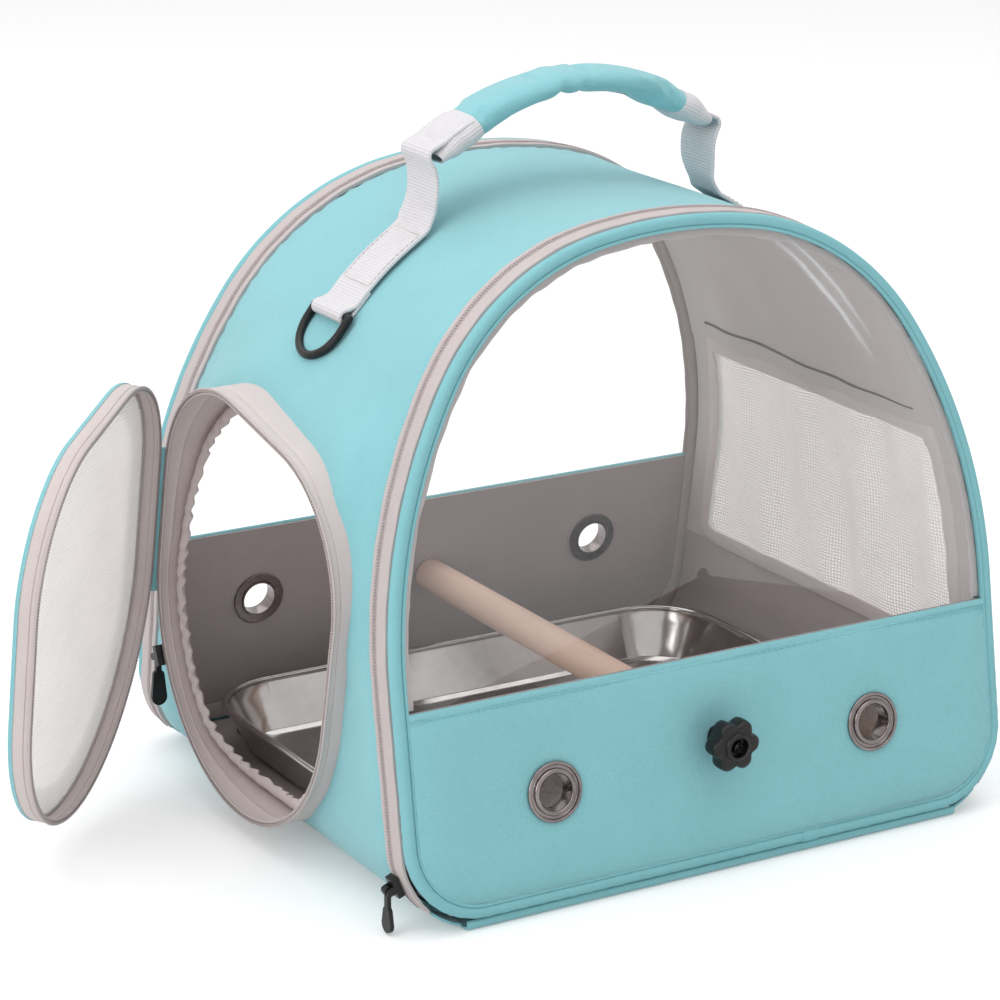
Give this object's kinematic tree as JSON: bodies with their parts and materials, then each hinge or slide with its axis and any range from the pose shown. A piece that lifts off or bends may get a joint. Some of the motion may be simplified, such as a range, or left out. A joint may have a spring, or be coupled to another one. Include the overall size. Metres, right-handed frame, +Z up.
{
  "type": "bird travel carrier",
  "caption": "Arched soft-sided bird carrier with zipped end panels, clear windows, zipped side door, mesh window, perch with star knobs, lift-out tray and carrying handle.",
  "frame": {"origin": "centre of the base, on the surface the carrier stands on", "axes": "+Z up, -Y towards the front panel, -X towards the side door, in metres"},
  "size_m": [0.4166, 0.2806, 0.3111],
  "materials": {
    "teal_fabric": "fine oxford weave, matt",
    "pink_tape": "woven tape and webbing, matt",
    "grey_lining": "plain weave lining",
    "stiffener": "plain sheet",
    "pale_mesh": "knitted mesh",
    "clear_film": "clear soft film",
    "perch_wood": "sanded",
    "steel": "plain",
    "tray_steel": "polished sheet",
    "gunmetal": "dark plating, glossy",
    "black_metal": "black enamel",
    "black_plastic": "gloss",
    "foam": "foam rod"
  },
  "bodies": {
    "shell": {"outer_cover": "teal_fabric", "cover_board": "stiffener", "inner_lining": "grey_lining", "base_board": "stiffener", "side_mesh": "pale_mesh", "side_mesh_binding": "grey_lining", "front_zip_shell_tape": "pink_tape", "back_zip_shell_tape": "pink_tape", "front_zip_slider": "black_metal", "back_zip_slider": "black_metal", "front_hinge_strip": "teal_fabric", "back_hinge_strip": "teal_fabric", "door_collar": "pink_tape", "door_zip_collar_tape": "pink_tape", "door_opening_ruffle": "pink_tape", "door_zip_slider": "black_metal", "door_hinge_strip": "teal_fabric", "left_strap_anchor": "pink_tape", "right_strap_anchor": "pink_tape", "perch": "perch_wood", "perch_sleeves": "steel"},
    "front_flap": {"front_panel_cover": "teal_fabric", "front_panel_board": "stiffener", "front_panel_lining": "grey_lining", "front_window": "clear_film", "front_window_binding": "pink_tape", "front_piping": "teal_fabric", "front_zip_flap_tape": "pink_tape", "front_eyelets": "gunmetal", "front_eyelet_washers": "gunmetal"},
    "back_flap": {"back_panel_cover": "teal_fabric", "back_panel_board": "stiffener", "back_panel_lining": "grey_lining", "back_window": "clear_film", "back_window_binding": "pink_tape", "back_piping": "teal_fabric", "back_zip_flap_tape": "pink_tape", "back_eyelets": "gunmetal", "back_eyelet_washers": "gunmetal"},
    "front_knob": {"front_knob": "black_plastic", "front_knob_stud": "steel"},
    "back_knob": {"back_knob": "black_plastic", "back_knob_stud": "steel"},
    "side_door": {"door_mesh": "pale_mesh", "door_face_ring": "teal_fabric", "door_gusset": "pink_tape", "door_zip_leaf_tape": "pink_tape"},
    "tray": {"tray": "tray_steel"},
    "handle": {"handle_core": "foam", "handle_grip": "teal_fabric", "handle_webbing": "pink_tape"},
    "left_d_ring": {"left_d_ring": "black_metal"},
    "right_d_ring": {"right_d_ring": "black_metal"},
    "front_pull": {"front_zip_pull": "black_metal"},
    "back_pull": {"back_zip_pull": "black_metal"},
    "door_pull": {"door_zip_pull": "black_metal"}
  },
  "joints": [
    {"name": "front_flap_swing", "type": "hinge", "parent": "shell", "child": "front_flap", "pos_m": [0, -0.12977, 0.00494], "axis": [1, 0, 0], "range_deg": [0, 80]},
    {"name": "back_flap_swing", "type": "hinge", "parent": "shell", "child": "back_flap", "pos_m": [0, 0.12977, 0.00494], "axis": [-1, 0, 0], "range_deg": [0, 80]},
    {"name": "front_knob_turn", "type": "hinge", "parent": "front_flap", "child": "front_knob", "pos_m": [0, -0.13, 0.058], "axis": [0, 1, 0], "continuous": true},
    {"name": "back_knob_turn", "type": "hinge", "parent": "back_flap", "child": "back_knob", "pos_m": [0, 0.13, 0.058], "axis": [0, -1, 0], "continuous": true},
    {"name": "side_door_swing", "type": "hinge", "parent": "shell", "child": "side_door", "pos_m": [-0.154, 0.07849, 0.11426], "axis": [0, -0.2079, 0.9781], "range_deg": [-87, 43]},
    {"name": "tray_lift", "type": "slide", "parent": "shell", "child": "tray", "axis": [0, 0, 1], "range_m": [0, 0.018]},
    {"name": "handle_swing", "type": "hinge", "parent": "shell", "child": "handle", "pos_m": [0, 0, 0.26962], "axis": [1, 0, 0], "range_deg": [-68, 68]},
    {"name": "left_d_ring_swing", "type": "hinge", "parent": "shell", "child": "left_d_ring", "pos_m": [-0.10965, 0, 0.22269], "axis": [0, 1, 0], "range_deg": [0, 150]},
    {"name": "right_d_ring_swing", "type": "hinge", "parent": "shell", "child": "right_d_ring", "pos_m": [0.10965, 0, 0.22269], "axis": [0, -1, 0], "range_deg": [0, 150]},
    {"name": "front_pull_swing", "type": "hinge", "parent": "shell", "child": "front_pull", "pos_m": [-0.14773, -0.11329, 0.01841], "axis": [0, 1, 0], "range_deg": [0, 120]},
    {"name": "back_pull_swing", "type": "hinge", "parent": "shell", "child": "back_pull", "pos_m": [0.14773, 0.11329, 0.01841], "axis": [0, -1, 0], "range_deg": [0, 120]},
    {"name": "door_pull_swing", "type": "hinge", "parent": "shell", "child": "door_pull", "pos_m": [-0.154, 0.08188, 0.05659], "axis": [1, 0, 0], "range_deg": [-12, 120]}
  ]
}
